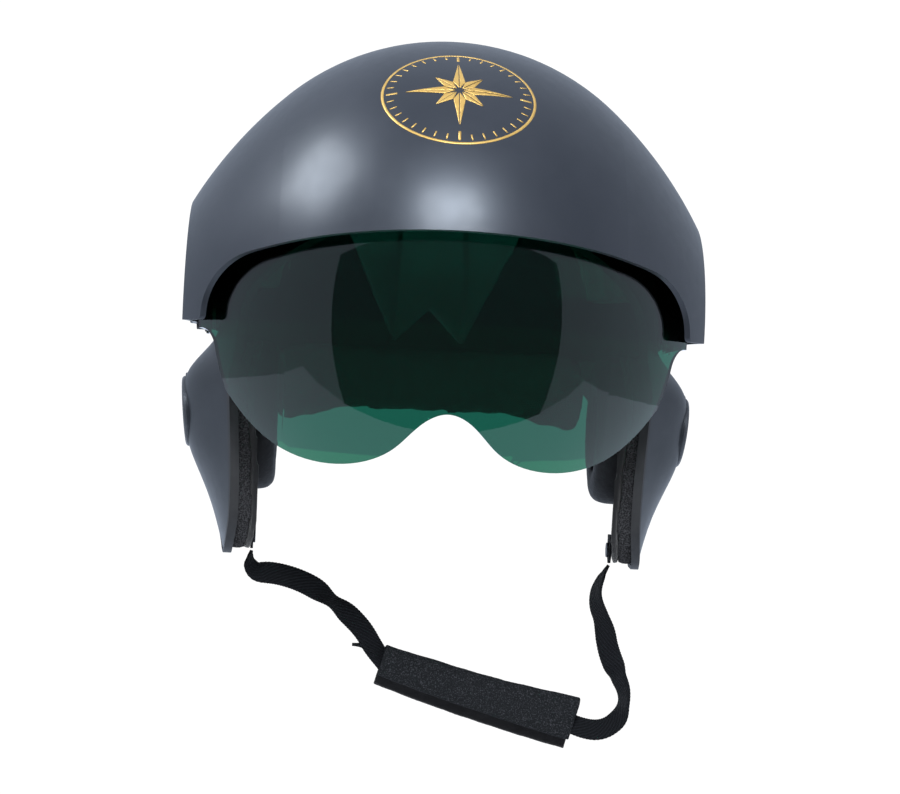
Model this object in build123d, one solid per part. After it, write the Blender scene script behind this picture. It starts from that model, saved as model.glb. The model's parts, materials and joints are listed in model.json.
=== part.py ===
from build123d import *
import os
from math import cos, exp, pi, radians, sin, tan

# A pilot's flight helmet with a drop-down visor, in millimetres.
# +Z is up and the face looks toward -Y. Left is the wearer's left, at +X.
# The origin is the middle of the visor's pivot axis, which runs along X, and the
# middle of the space for the wearer's head.

# Outer hood: a moulded cover, round about the pivot axis
HOOD_CROWN_R = 139.0
HOOD_ARC_R = 122.0
HOOD_ARC_END_X = 80.0
HOOD_RIDGE_X = 124.9
HOOD_RIDGE_R = 54.5
HOOD_CHEEK_X = 123.7
HOOD_DISH = 1.9
HOOD_WALL = 2.2
RIDGE_INSET_SHARE = 0.264
DISH_PLACE_SHARE = 0.5
BROW_ANGLE = 15.5
BROW_WING_R = 96.5
WING_FRONT_Y = -69.0
WING_FOOT_Z = -6.0
WING_CORNER_ROUND = 3.0
HOOD_HEEL_Y = 48.0
HOOD_HEEL_ROUND = 14.0
HOOD_REAR_Y = 108.0
HOOD_REAR_Z = 75.0
HOOD_FLANGE = 2.6
HOOD_SEAT_GAP = 0.4

# Skull shell: one moulding with the ear cups
SHELL_HALF_WIDTH = 109.5
SHELL_HALF_LENGTH = 128.0
SHELL_CROWN_Z = 120.0
SHELL_CENTRE_Y = 12.0
SHELL_SKIRT = 118.0
SHELL_WALL = 2.4
EAR_BULGE = 15.3
EAR_Y = 5.0
EAR_SPREAD = 41.0
HALF_RING_STEPS = 16
DOME_ANGLES = (84.0, 77.0, 67.0, 55.0, 42.0, 28.0, 14.0)
# Down the skirt: depth, half width, ear bulge and half length as shares, then squareness
SKIRT_SHARES = (
    (0.0, 1.0, 0.0, 1.0, 2.0),
    (0.06, 1.0, 0.0, 1.0, 2.0),
    (0.13, 1.0, 0.24, 0.995, 2.0),
    (0.195, 1.0, 0.64, 0.99, 2.05),
    (0.26, 1.0, 0.95, 0.985, 2.1),
    (0.42, 0.985, 1.09, 0.96, 2.2),
    (0.57, 0.96, 1.05, 0.925, 2.4),
    (0.67, 0.94, 0.86, 0.895, 2.7),
    (0.76, 0.93, 0.62, 0.87, 3.0),
    (0.85, 0.925, 0.40, 0.85, 3.3),
    (0.94, 0.92, 0.22, 0.835, 3.6),
    (1.03, 0.912, 0.10, 0.825, 3.9),
)
EAR_POWER = 4

# Edge of the skull shell, seen from the side: brow, face opening, ear flap and nape
BROW_EDGE_Z = 44.0
BROW_EDGE_Y = -98.0
BROW_EDGE_ROUND = 18.0
TEMPLE_Z = 4.0
TEMPLE_ROUND = 34.0
FLAP_FRONT_Y = -45.0
FLAP_TIP_Z = -116.0
FLAP_FRONT_ROUND = 20.0
FLAP_TIP_LENGTH = 46.0
FLAP_REAR_ROUND = 26.0
NAPE_CORNER_Y = 78.0
NAPE_Z = -30.0
NAPE_ROUND = 34.0

# Rubber bead along that edge
EDGING_LIP = 0.7
EDGING_NOSE = 1.6

# Ear flap lining
LINING_CLEARANCE = 0.3
FLAP_FOAM = 7.2
FLAP_FOAM_SETBACK = 1.0
FLAP_FOAM_TOP_Z = -14.0
FLAP_LINER = 2.4
EAR_INSERT_FACE_X = 97.0
EAR_OVAL_HEIGHT = 76.0
EAR_OVAL_LENGTH = 62.0
EAR_OVAL_Y = 0.0
EAR_CENTRE_Z = -50.0
EAR_PAD_THICKNESS = 19.0
EAR_PAD_HOLE_HEIGHT = 38.0
EAR_PAD_HOLE_LENGTH = 26.0
EAR_PAD_CROWN = 8.5

# Round cap on each ear cup
DISC_DIAMETER = 35.0
DISC_THICKNESS = 2.0
DISC_Z = -50.0
DISC_TILT = 6.0
DISC_FACE_X = 125.2
DISC_EDGE_ROUND = 0.8
SEAT_RIM = 1.6
SEAT_DEPTH = 8.0

# Fitting pads inside the skull shell
PAD_THICKNESS = 11.0
FRONT_PAD_HALF_WIDTH = 58.0
FRONT_PAD_BOTTOM_Z = 50.0
FRONT_PAD_TOP_Z = 76.0
CROWN_PAD_R = 46.0
SIDE_PAD_FRONT_Y = 18.0
SIDE_PAD_REAR_Y = 74.0
SIDE_PAD_BOTTOM_Z = 14.0
SIDE_PAD_TOP_Z = 58.0
NAPE_PAD_HALF_WIDTH = 52.0
NAPE_PAD_BOTTOM_Z = -27.0
NAPE_PAD_TOP_Z = -11.0
REAR_LINER = 2.8
REAR_LINER_TOP_Z = 66.0
REAR_LINER_TIP_X = 19.0
REAR_LINER_TIP_Z = -8.0
REAR_LINER_NOTCH_Z = 11.0
REAR_LINER_SIDE_X = 47.0
REAR_LINER_SIDE_Z = 49.0

# Visor lens
LENS_GAP = 5.8
LENS_WALL = 2.0
LENS_TOP_ANGLE = 27.0
LENS_REAR_Y = -63.0
LENS_ARM_R = 11.0
LENS_ARM_FOOT_Z = -9.0
LENS_ARM_ROUND = 9.0
LENS_NOTCH_DROP = 45.0
LENS_DROP = 70.0
LENS_LOBE_X = 52.0
# Lower edge from the nose notch outward: place over lobe place, drop over full drop
LENS_EDGE_SHARES = ((0.2, 0.70), (0.45, 0.878), (1.0, 1.0), (1.52, 0.885), (1.92, 0.60), (2.3, 0.2))

# Pivot hardware, one set a side
BOSS_R = 9.5
BOSS_FACE_X = 110.6
BUSH_R = 6.0
BUSH_BORE_R = 2.7
PIVOT_SCREW_R = 2.5
PIVOT_HEAD_R = 4.6
PIVOT_HEAD_HEIGHT = 2.6
PIVOT_SCREW_TIP_X = 101.0
GROMMET_R = 8.0
GROMMET_FLANGE_R = 10.0
GROMMET_FLANGE = 0.8
GROMMET_RUNNING_GAP = 0.2
WASHER_R = 9.0
WASHER_GAP = 0.4
NUT_R = 5.0
NUT_THICKNESS = 4.0
NUT_FACE_X = 105.6
HOOD_BOSS_R = 9.0
HOOD_BOSS_IN_X = 120.8
HEAD_DOME_SHARE = 0.85
SEAT_CLEARANCE = 0.15
FACE_CLEARANCE = 0.2

# Raised cover behind each pivot
COVER_FRONT_Y = 13.0
COVER_LENGTH = 30.0
COVER_FOOT_Z = 0.0
COVER_HEIGHT = 27.0
COVER_FACE_X = 126.4
COVER_CORNER = 6.0
COVER_CHAMFER = 2.0
COVER_ROOT = 1.6

# Rear fixing of the hood
REAR_SCREW_ANGLE = 133.0
REAR_SCREW_X = 38.0
REAR_SCREW_R = 2.0
REAR_SCREW_HEAD_R = 4.2
REAR_SCREW_HEAD = 1.8
REAR_SCREW_LENGTH = 14.0
REAR_SEAT_SINK = 7.0
SPACER_R = 5.5

# Chin strap: webbing, folded foam sleeve, tabs and rivets at the flap tips
STRAP_AXIS_Y = -18.0
STRAP_AXIS_Z = -116.5
STRAP_X = 88.8
WEBBING_WIDTH = 11.0
WEBBING_THICKNESS = 1.3
WEBBING_TUBE = 3.6
TAB_LENGTH = 15.0
RIVET_R = 1.6
RIVET_HEAD_R = 3.6
RIVET_HEAD = 1.0
RIVET_LENGTH = 12.0
WEBBING_RIGHT_ROUTE = (
    (-88.1, -18.0, -116.5), (-89.4, -18.0, -121.7), (-85.8, -17.9, -127.2), (-77.0, -17.6, -127.0),
    (-66.5, -18.4, -129.2), (-56.5, -17.8, -133.4), (-47.2, -18.6, -139.8), (-39.0, -18.0, -146.0),
    (-31.2, -18.8, -153.6), (-26.0, -18.2, -162.4), (-19.6, -18.5, -170.0),
)
WEBBING_LEFT_ROUTE = (
    (88.1, -18.0, -116.5), (83.2, -18.0, -124.6), (82.0, -17.6, -134.6), (87.2, -18.4, -146.0),
    (89.5, -18.0, -158.0), (94.5, -18.8, -169.5), (99.5, -18.0, -180.5), (97.5, -17.5, -192.0),
    (88.5, -18.2, -198.5), (77.5, -18.5, -197.5), (70.0, -18.3, -194.2),
)
ARC_SHARE = 0.45
SLEEVE_START = (-22.0, -18.4, -167.5)
SLEEVE_END = (74.5, -18.4, -193.0)
SLEEVE_SHARES = (0.0, 0.5, 1.0)
SLEEVE_HEIGHTS = (15.5, 18.5, 21.5)
SLEEVE_ROUND_SHARE = 0.45
SLEEVE_THICKNESS = 8.0
SLEEVE_BOW = 3.0
UNDERFLAP_THICKNESS = 3.0
UNDERFLAP_DROP = 5.0

OVERRUN = 60.0
SIDES = (("left", False), ("right", True))
NODES = {}
SHELL_BODIES = {}


def hood_section(inset):
    """Half section of the hood above the pivot axis, drawn in by inset."""
    arc_r = HOOD_ARC_R - inset
    arc_z = HOOD_CROWN_R - HOOD_ARC_R
    share = HOOD_ARC_END_X / HOOD_ARC_R
    lean = (1 - share ** 2) ** 0.5
    top = (0, arc_z + arc_r)
    turn = (arc_r * share, arc_z + arc_r * lean)
    ridge = (HOOD_RIDGE_X - inset, HOOD_RIDGE_R - inset * RIDGE_INSET_SHARE)
    dish = (HOOD_CHEEK_X - HOOD_DISH - inset, ridge[1] * DISH_PLACE_SHARE)
    pole = (HOOD_CHEEK_X - inset, 0)
    with BuildSketch(Plane.XZ) as sketch:
        with BuildLine():
            ThreePointArc((-turn[0], turn[1]), top, turn)
            TangentArc(turn, ridge, tangent=(lean, -share))
            TangentArc((-turn[0], turn[1]), (-ridge[0], ridge[1]), tangent=(-lean, -share))
            ThreePointArc(ridge, dish, pole)
            ThreePointArc((-ridge[0], ridge[1]), (-dish[0], dish[1]), (-pole[0], 0))
            Line((-pole[0], 0), pole)
        make_face()
    return sketch.sketch


def hood_body(inset):
    """Solid of revolution of the hood's section about the pivot axis."""
    return revolve(hood_section(inset), axis=Axis.X, revolution_arc=360)


def side_prism(face, low_x=-HOOD_RIDGE_X - OVERRUN, high_x=HOOD_RIDGE_X + OVERRUN):
    """Prism along X of a face drawn in the side view, as (y, z)."""
    return Pos(low_x, 0, 0) * extrude(Plane.YZ * face, amount=high_x - low_x)


def front_prism(face, low_y, high_y):
    """Prism along Y of a face drawn in the front view, as (x, z)."""
    return Pos(0, high_y, 0) * extrude(Plane.XZ * face, amount=high_y - low_y)


def block(low, high):
    """Box between two corners."""
    size = [b - a for a, b in zip(low, high)]
    return Pos(*low) * Box(*size, align=(Align.MIN, Align.MIN, Align.MIN))


def rod(radius, low_x, high_x, y=0, z=0):
    """Round bar along X."""
    bar = Cylinder(radius, high_x - low_x, align=(Align.CENTER, Align.CENTER, Align.MIN))
    return Pos(low_x, y, z) * Rot(0, 90, 0) * bar


def outline(*points):
    """Face of a closed polygon."""
    return make_face(Polyline(*points, close=True))


def rounded(points, radii):
    """Face of a closed polygon whose corners have the radii given, zero for a sharp one."""
    face = outline(*points)
    for point, radius in zip(points, radii):
        if radius:
            corner = face.vertices().sort_by_distance(Vector(*point, 0))[0]
            face = fillet(corner, radius)
    return face


def radial(angle, radius):
    """Point (y, z) of the side view at an angle up from the front about the pivot axis."""
    return (-radius * cos(radians(angle)), radius * sin(radians(angle)))


def shell_ring(z, half_width, half_length, bulge, squareness):
    """Half outline of the skull shell at one height, closed along the middle plane."""
    points = []
    for i in range(HALF_RING_STEPS + 1):
        turn = pi * (i / HALF_RING_STEPS - 1 / 2)
        across, along = max(0, cos(turn)), sin(turn)
        reach = (across ** squareness + abs(along) ** squareness) ** (-1 / squareness)
        y = half_length * reach * along + SHELL_CENTRE_Y
        swell = bulge * exp(-abs((y - EAR_Y) / EAR_SPREAD) ** EAR_POWER)
        x = half_width * reach * across + swell
        points.append(Vector(x if 0 < i < HALF_RING_STEPS else 0, y, z))
    outward = Vector(1, 0, 0)
    steps = [i / HALF_RING_STEPS for i in range(HALF_RING_STEPS + 1)]
    curve = Edge.make_spline(points, tangents=(outward, -outward), parameters=steps)
    return Face(Wire([curve, Edge.make_line(points[-1], points[0])]))


def shell_body(inset):
    """Left half of the skull shell and ear cup as a closed body, drawn in by inset."""
    if inset not in SHELL_BODIES:
        width, length = SHELL_HALF_WIDTH - inset, SHELL_HALF_LENGTH - inset
        rings = []
        for angle in DOME_ANGLES:
            rise, reach = sin(radians(angle)), cos(radians(angle))
            rings.append(shell_ring((SHELL_CROWN_Z - inset) * rise, width * reach, length * reach, 0, 2))
        for depth, wide, swell, long, squareness in SKIRT_SHARES:
            rings.append(shell_ring(-SHELL_SKIRT * depth, SHELL_HALF_WIDTH * wide - inset,
                                    SHELL_HALF_LENGTH * long - inset, EAR_BULGE * swell, squareness))
        SHELL_BODIES[inset] = loft(rings)
    return SHELL_BODIES[inset]


def both(half):
    """Half of a piece at +X joined to its mirror image."""
    return half + mirror(half, about=Plane.YZ)


def opening_outline(grow=0):
    """Side view of all that is cut away from the skull shell: face opening, neck and outside."""
    far = SHELL_HALF_LENGTH + OVERRUN
    low = FLAP_TIP_Z - OVERRUN
    points = (
        (-far, BROW_EDGE_Z), (BROW_EDGE_Y, BROW_EDGE_Z), (FLAP_FRONT_Y, TEMPLE_Z),
        (FLAP_FRONT_Y, FLAP_TIP_Z), (FLAP_FRONT_Y + FLAP_TIP_LENGTH, FLAP_TIP_Z),
        (NAPE_CORNER_Y, NAPE_Z), (far, NAPE_Z), (far, low), (-far, low),
    )
    radii = (0, BROW_EDGE_ROUND, TEMPLE_ROUND, FLAP_FRONT_ROUND, FLAP_REAR_ROUND, NAPE_ROUND, 0, 0, 0)
    face = rounded(points, radii)
    return offset(face, amount=grow) if grow else face


def layer(outer, inner, region):
    """Left half of what lies between two insets of the skull shell, within a region."""
    return (shell_body(outer) & region) - shell_body(inner)


def add(name, solid):
    """Keep a piece under its node name."""
    NODES[name] = solid


def add_pair(name, solid):
    """Keep a piece modelled at +X as the left one, and its mirror image as the right one."""
    for side, mirrored in SIDES:
        add(f"{name}_{side}", mirror(solid, about=Plane.YZ) if mirrored else solid)


def hood_outline():
    """Side view of the hood: brow, wings down to the pivots, and rear edge."""
    far = HOOD_CROWN_R + OVERRUN
    wing = radial(BROW_ANGLE, BROW_WING_R)
    inward = (cos(radians(BROW_ANGLE)), -sin(radians(BROW_ANGLE)))
    rise = (HOOD_REAR_Z - WING_FOOT_Z) / (HOOD_REAR_Y - HOOD_HEEL_Y)
    rear_far = (HOOD_HEEL_Y + (far - WING_FOOT_Z) / rise, far)
    edge = make_face([
        Line(radial(BROW_ANGLE, far), wing),
        TangentArc(wing, (WING_FRONT_Y, WING_FOOT_Z), tangent=inward),
        Line((WING_FRONT_Y, WING_FOOT_Z), (HOOD_HEEL_Y, WING_FOOT_Z)),
        Line((HOOD_HEEL_Y, WING_FOOT_Z), rear_far),
        Line(rear_far, (-far, far)),
        Line((-far, far), radial(BROW_ANGLE, far)),
    ])
    for corner, radius in (((WING_FRONT_Y, WING_FOOT_Z), WING_CORNER_ROUND),
                           ((HOOD_HEEL_Y, WING_FOOT_Z), HOOD_HEEL_ROUND)):
        edge = fillet(edge.vertices().sort_by_distance(Vector(*corner, 0))[0], radius)
    return edge


def rear_axis(depth, sign):
    """Place of a rear fixing of the hood, at a depth under the crown radius, pointing outward."""
    y, z = radial(REAR_SCREW_ANGLE, HOOD_CROWN_R - depth)
    return Location(Plane(origin=(sign * REAR_SCREW_X, y, z), x_dir=(1, 0, 0),
                          z_dir=(0, -cos(radians(REAR_SCREW_ANGLE)), sin(radians(REAR_SCREW_ANGLE)))))


def make_hood():
    """Hood with its rear return flange and pivot bosses."""
    keep = side_prism(hood_outline())
    solid = (hood_body(0) - hood_body(HOOD_WALL)) & keep
    within = side_prism(offset(hood_outline(), amount=-HOOD_FLANGE))
    reach = HOOD_CROWN_R + OVERRUN
    pivots = block((-reach, -reach, -reach), (reach, BUSH_R + BOSS_R, reach))
    flange = ((hood_body(HOOD_WALL / 2) & keep) - within - pivots) - both(shell_body(-HOOD_SEAT_GAP))
    solid += flange
    solid -= rod(BUSH_BORE_R, -reach, reach)
    for sign in (1, -1):
        solid -= rear_axis(REAR_SEAT_SINK + REAR_SCREW_LENGTH, sign) * rear_hole()
    for sign in (1, -1):
        low, high = sorted((sign * HOOD_BOSS_IN_X, sign * HOOD_CHEEK_X))
        solid -= rod(HOOD_BOSS_R, *sorted((sign * (HOOD_BOSS_IN_X - SEAT_DEPTH), sign * HOOD_BOSS_IN_X)))
        solid += (rod(HOOD_BOSS_R, low, high) - rod(BUSH_BORE_R, low, high)) & keep
    add("visor_hood", solid)


def rear_hole():
    """Clearance hole for a rear screw of the hood."""
    up = (Align.CENTER, Align.CENTER, Align.MIN)
    return Cylinder(REAR_SCREW_R + SEAT_CLEARANCE, REAR_SCREW_LENGTH + SEAT_DEPTH, align=up)


def disc_seat():
    """Place of an ear cap's back face, at +X, with Z pointing outward."""
    tilt = radians(DISC_TILT)
    normal = Vector(cos(tilt), 0, -sin(tilt))
    face = Vector(DISC_FACE_X, EAR_Y, DISC_Z) - normal * DISC_THICKNESS
    return Location(Plane(origin=face, x_dir=(0, 1, 0), z_dir=normal))


def make_shell():
    """Skull shell with ear cups, pivot bosses and seats for the ear caps."""
    up = (Align.CENTER, Align.CENTER, Align.MIN)
    down = (Align.CENTER, Align.CENTER, Align.MAX)
    solid = shell_body(0) - side_prism(opening_outline())
    solid += disc_seat() * Cylinder(DISC_DIAMETER / 2 + SEAT_RIM, SEAT_DEPTH, align=down)
    solid += rod(BOSS_R, BOSS_FACE_X - SEAT_DEPTH, BOSS_FACE_X)
    solid -= disc_seat() * Cylinder(DISC_DIAMETER / 2 + FACE_CLEARANCE, SEAT_DEPTH, align=up)
    solid -= shell_body(SHELL_WALL)
    solid -= rod(BUSH_BORE_R, 0, HOOD_RIDGE_X)
    solid -= rear_axis(REAR_SEAT_SINK + REAR_SCREW_LENGTH + SEAT_DEPTH, 1) * rear_hole()
    add("main_shell", both(solid))


def make_edging():
    """Rubber bead along the shell's edge, in two lengths that meet at the brow and nape."""
    band = side_prism(opening_outline()) - side_prism(opening_outline(-EDGING_NOSE))
    add_pair("edge_trim", layer(-EDGING_LIP, SHELL_WALL + EDGING_LIP, band))


def oval_rod(height, length, low_x, high_x):
    """Oval bar along X, centred on the ear."""
    oval = Ellipse(length / 2, height / 2)
    return Pos(0, EAR_OVAL_Y, EAR_CENTRE_Z) * side_prism(oval, low_x, high_x)


def make_ear_parts():
    """Cap, foam lining, fabric lining, insert and ring cushion of each ear cup."""
    up = (Align.CENTER, Align.CENTER, Align.MIN)
    cap = Cylinder(DISC_DIAMETER / 2, DISC_THICKNESS, align=up)
    cap = chamfer(cap.faces().sort_by(Axis.Z)[-1].edges(), DISC_EDGE_ROUND)
    add_pair("ear_disc", disc_seat() * cap)
    reach = HOOD_RIDGE_X + OVERRUN
    flap = block((0, -reach, -reach), (reach, reach, FLAP_FOAM_TOP_Z))
    flap -= side_prism(opening_outline(FLAP_FOAM_SETBACK))
    behind = side_prism(outline((NAPE_CORNER_Y, FLAP_FOAM_TOP_Z), (reach, FLAP_FOAM_TOP_Z),
                                (reach, -reach), (NAPE_CORNER_Y, -reach)))
    tab_slot = block(*[[v + s * FACE_CLEARANCE * 2 for v, s in zip(corner, signs)]
                       for corner, signs in zip(tab_corners(), ((-1, -1, -1), (1, 1, 1)))])
    well = oval_rod(EAR_OVAL_HEIGHT + 2 * LINING_CLEARANCE, EAR_OVAL_LENGTH + 2 * LINING_CLEARANCE, 0, reach)
    flap = flap - behind - tab_slot - well
    foam_face = SHELL_WALL + LINING_CLEARANCE
    liner_face = foam_face + FLAP_FOAM + LINING_CLEARANCE
    insert_face = SHELL_WALL + LINING_CLEARANCE
    add_pair("flap_foam", layer(foam_face, foam_face + FLAP_FOAM, flap))
    add_pair("flap_liner", layer(liner_face, liner_face + FLAP_LINER, flap))
    plug = oval_rod(EAR_OVAL_HEIGHT, EAR_OVAL_LENGTH, EAR_INSERT_FACE_X, reach) & shell_body(insert_face)
    add_pair("ear_insert", plug)
    cushion_face = EAR_INSERT_FACE_X - LINING_CLEARANCE
    cushion = oval_rod(EAR_OVAL_HEIGHT, EAR_OVAL_LENGTH, cushion_face - EAR_PAD_THICKNESS, cushion_face)
    cushion = fillet(cushion.faces().sort_by(Axis.X)[0].edges(), EAR_PAD_CROWN)
    cushion -= oval_rod(EAR_PAD_HOLE_HEIGHT, EAR_PAD_HOLE_LENGTH, 0, reach)
    inner_rim = cushion.faces().sort_by(Axis.X)[0].edges().sort_by(SortBy.LENGTH)[0]
    cushion = fillet(inner_rim, EAR_PAD_CROWN / 2)
    add_pair("ear_pad", cushion)


def make_pads():
    """Fitting pads between the head and the shell."""
    near = SHELL_WALL + LINING_CLEARANCE
    far = near + PAD_THICKNESS
    reach = SHELL_HALF_LENGTH + OVERRUN
    front = block((-FRONT_PAD_HALF_WIDTH, -reach, FRONT_PAD_BOTTOM_Z), (FRONT_PAD_HALF_WIDTH, 0, FRONT_PAD_TOP_Z))
    add("front_pad", both(layer(near, far, front)))
    crown = Pos(0, SHELL_CENTRE_Y, 0) * Cylinder(CROWN_PAD_R, reach, align=(Align.CENTER, Align.CENTER, Align.MIN))
    add("crown_pad", both(layer(near, far, crown)))
    side = block((0, SIDE_PAD_FRONT_Y, SIDE_PAD_BOTTOM_Z), (reach, SIDE_PAD_REAR_Y, SIDE_PAD_TOP_Z))
    add_pair("side_pad", layer(near, far, side))
    nape = block((-NAPE_PAD_HALF_WIDTH, 0, NAPE_PAD_BOTTOM_Z), (NAPE_PAD_HALF_WIDTH, reach, NAPE_PAD_TOP_Z))
    add("nape_pad", both(layer(near, far, nape)))
    tongues = outline(
        (-REAR_LINER_SIDE_X, REAR_LINER_TOP_Z), (-REAR_LINER_SIDE_X, REAR_LINER_SIDE_Z),
        (-REAR_LINER_TIP_X, REAR_LINER_TIP_Z), (0, REAR_LINER_NOTCH_Z), (REAR_LINER_TIP_X, REAR_LINER_TIP_Z),
        (REAR_LINER_SIDE_X, REAR_LINER_SIDE_Z), (REAR_LINER_SIDE_X, REAR_LINER_TOP_Z))
    add("rear_liner", both(layer(near, near + REAR_LINER, front_prism(tongues, SHELL_CENTRE_Y, reach))))


def lens_edge():
    """Front view of what is below the visor's lower edge, with the nose notch."""
    right = [(place * LENS_LOBE_X, -drop * LENS_DROP) for place, drop in LENS_EDGE_SHARES]
    left = [(-x, z) for x, z in reversed(right)]
    low = -LENS_DROP - OVERRUN
    edge = Spline(*left, (0, -LENS_NOTCH_DROP), *right)
    return make_face([
        edge, Line(right[-1], (right[-1][0] + OVERRUN, right[-1][1])),
        Line((right[-1][0] + OVERRUN, right[-1][1]), (right[-1][0] + OVERRUN, low)),
        Line((right[-1][0] + OVERRUN, low), (left[0][0] - OVERRUN, low)),
        Line((left[0][0] - OVERRUN, low), (left[0][0] - OVERRUN, left[0][1])),
        Line((left[0][0] - OVERRUN, left[0][1]), left[0]),
    ])


def make_visor():
    """Visor lens with an arm and a nylon grommet at each pivot."""
    far = HOOD_CROWN_R + OVERRUN
    top = radial(LENS_TOP_ANGLE, far)
    inset = HOOD_WALL + LENS_GAP
    side = rounded(((0, LENS_ARM_R), top, (top[0], -far), (LENS_REAR_Y, -far),
                    (LENS_REAR_Y, LENS_ARM_FOOT_Z), (0, -LENS_ARM_R)),
                   (0, 0, 0, 0, LENS_ARM_ROUND, 0))
    lens = (hood_body(inset) - hood_body(inset + LENS_WALL)) & side_prism(side)
    lens -= front_prism(lens_edge(), -far, 0)
    outer_x = HOOD_CHEEK_X - inset
    inner_x = outer_x - LENS_WALL
    for sign in (1, -1):
        low, high = sorted((sign * inner_x, sign * outer_x))
        lens -= rod(GROMMET_FLANGE_R + SEAT_CLEARANCE, *sorted((sign * (inner_x - SEAT_DEPTH), sign * inner_x)))
        lens += rod(LENS_ARM_R, low, high)
        lens -= rod(GROMMET_R, low - LENS_GAP, high + LENS_GAP)
    add("visor_lens", lens)
    grommet = rod(GROMMET_FLANGE_R, inner_x - GROMMET_FLANGE, inner_x) + rod(GROMMET_R, inner_x, outer_x)
    grommet += rod(GROMMET_FLANGE_R, outer_x, outer_x + GROMMET_FLANGE)
    bore = rod(BUSH_R + GROMMET_RUNNING_GAP, BOSS_FACE_X, HOOD_CHEEK_X)
    add_pair("lens_grommet", grommet - bore)
    washer = rod(WASHER_R, BOSS_FACE_X + FACE_CLEARANCE, inner_x - GROMMET_FLANGE - WASHER_GAP)
    add_pair("pivot_washer", washer - bore)
    spacer = rod(WASHER_R, outer_x + GROMMET_FLANGE + WASHER_GAP, HOOD_BOSS_IN_X - FACE_CLEARANCE)
    add_pair("pivot_spacer", spacer - bore)
    bush = rod(BUSH_R, BOSS_FACE_X, HOOD_BOSS_IN_X) - rod(BUSH_BORE_R, 0, HOOD_CHEEK_X)
    add_pair("pivot_bush", bush)


def make_fasteners():
    """Pivot screws and nuts, the rear screws of the hood and their spacers."""
    head = rod(PIVOT_HEAD_R, HOOD_CHEEK_X, HOOD_CHEEK_X + PIVOT_HEAD_HEIGHT)
    head = fillet(head.faces().sort_by(Axis.X)[-1].edges(), PIVOT_HEAD_HEIGHT * HEAD_DOME_SHARE)
    add_pair("pivot_screw", head + rod(PIVOT_SCREW_R, PIVOT_SCREW_TIP_X, HOOD_CHEEK_X))
    hexagon = RegularPolygon(NUT_R, 6)
    nut = side_prism(hexagon, NUT_FACE_X - NUT_THICKNESS, NUT_FACE_X)
    add_pair("pivot_nut", nut - rod(PIVOT_SCREW_R + SEAT_CLEARANCE, 0, HOOD_CHEEK_X))
    down = (Align.CENTER, Align.CENTER, Align.MAX)
    up = (Align.CENTER, Align.CENTER, Align.MIN)
    seat = rear_axis(REAR_SEAT_SINK, 1)
    head = Cylinder(REAR_SCREW_HEAD_R, REAR_SCREW_HEAD + HOOD_WALL, align=up)
    head = fillet(head.faces().sort_by(Axis.Z)[-1].edges(), REAR_SCREW_HEAD * HEAD_DOME_SHARE)
    screw = seat * (head + Cylinder(REAR_SCREW_R, REAR_SCREW_LENGTH, align=down)) - NODES["visor_hood"]
    post = seat * Cylinder(SPACER_R, REAR_SCREW_LENGTH, align=down)
    post = (post & hood_body(HOOD_WALL + SEAT_CLEARANCE)) - shell_body(-SEAT_CLEARANCE)
    post -= rear_axis(REAR_SEAT_SINK + REAR_SCREW_LENGTH, 1) * rear_hole()
    for name, solid in (("rear_screws", screw), ("rear_spacers", post)):
        one = solid.solids()[0]
        add(name, Compound(children=[one, mirror(one, about=Plane.YZ)]))


def make_side_covers():
    """Raised cover on each cheek of the hood, behind the pivot."""
    face = Pos(COVER_FRONT_Y + COVER_LENGTH / 2, COVER_FOOT_Z + COVER_HEIGHT / 2) * RectangleRounded(
        COVER_LENGTH, COVER_HEIGHT, COVER_CORNER)
    cover = side_prism(face, HOOD_CHEEK_X - SEAT_DEPTH, COVER_FACE_X)
    cover = chamfer(cover.faces().sort_by(Axis.X)[-1].edges(), COVER_CHAMFER)
    add_pair("side_cover", cover - hood_body(0))


def tab_corners():
    """Corners of the left strap tab."""
    half, foot = WEBBING_WIDTH / 2, STRAP_AXIS_Z + WEBBING_TUBE / 2 + LINING_CLEARANCE
    return ((STRAP_X - WEBBING_THICKNESS, STRAP_AXIS_Y - half, foot),
            (STRAP_X, STRAP_AXIS_Y + half, STRAP_AXIS_Z + TAB_LENGTH))


def webbing(route, name):
    """Webbing as a round tube along its route, with a round end at its tab and arcs as large as the runs allow."""
    points = [Vector(*p) for p in route]
    radii = []
    for before, corner, after in zip(points, points[1:], points[2:]):
        first, second = corner - before, after - corner
        half_turn = radians(first.get_angle(second)) / 2
        radii.append(ARC_SHARE * min(first.length, second.length) / tan(half_turn))
    path = FilletPolyline(*points, radius=radii)
    start = Plane(origin=path @ 0, z_dir=path % 0)
    tube = sweep(start * Circle(WEBBING_TUBE / 2), path=path)
    print(name, "length", round(path.length, 1), "radii", [round(r, 1) for r in radii],
          "volume share", round(tube.volume / (pi * WEBBING_TUBE ** 2 / 4 * path.length), 4))
    return tube + Pos(*route[0]) * Sphere(WEBBING_TUBE / 2)


def sleeve_body(heights, thickness, drop, shift_y):
    """Part of the chin sleeve, lofted along its length through rounded sections."""
    start, end = Vector(*SLEEVE_START), Vector(*SLEEVE_END)
    along = (end - start).normalized()
    sections = []
    for share, height in zip(SLEEVE_SHARES, heights):
        sag = SLEEVE_BOW * 4 * share * (1 - share)
        centre = start + (end - start) * share - Vector(0, 0, sag + drop)
        plane = Plane(origin=centre + Vector(0, shift_y, 0), x_dir=(0, 1, 0), z_dir=along)
        sections.append(plane * RectangleRounded(thickness, height, thickness * SLEEVE_ROUND_SHARE))
    return loft(sections)


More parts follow.
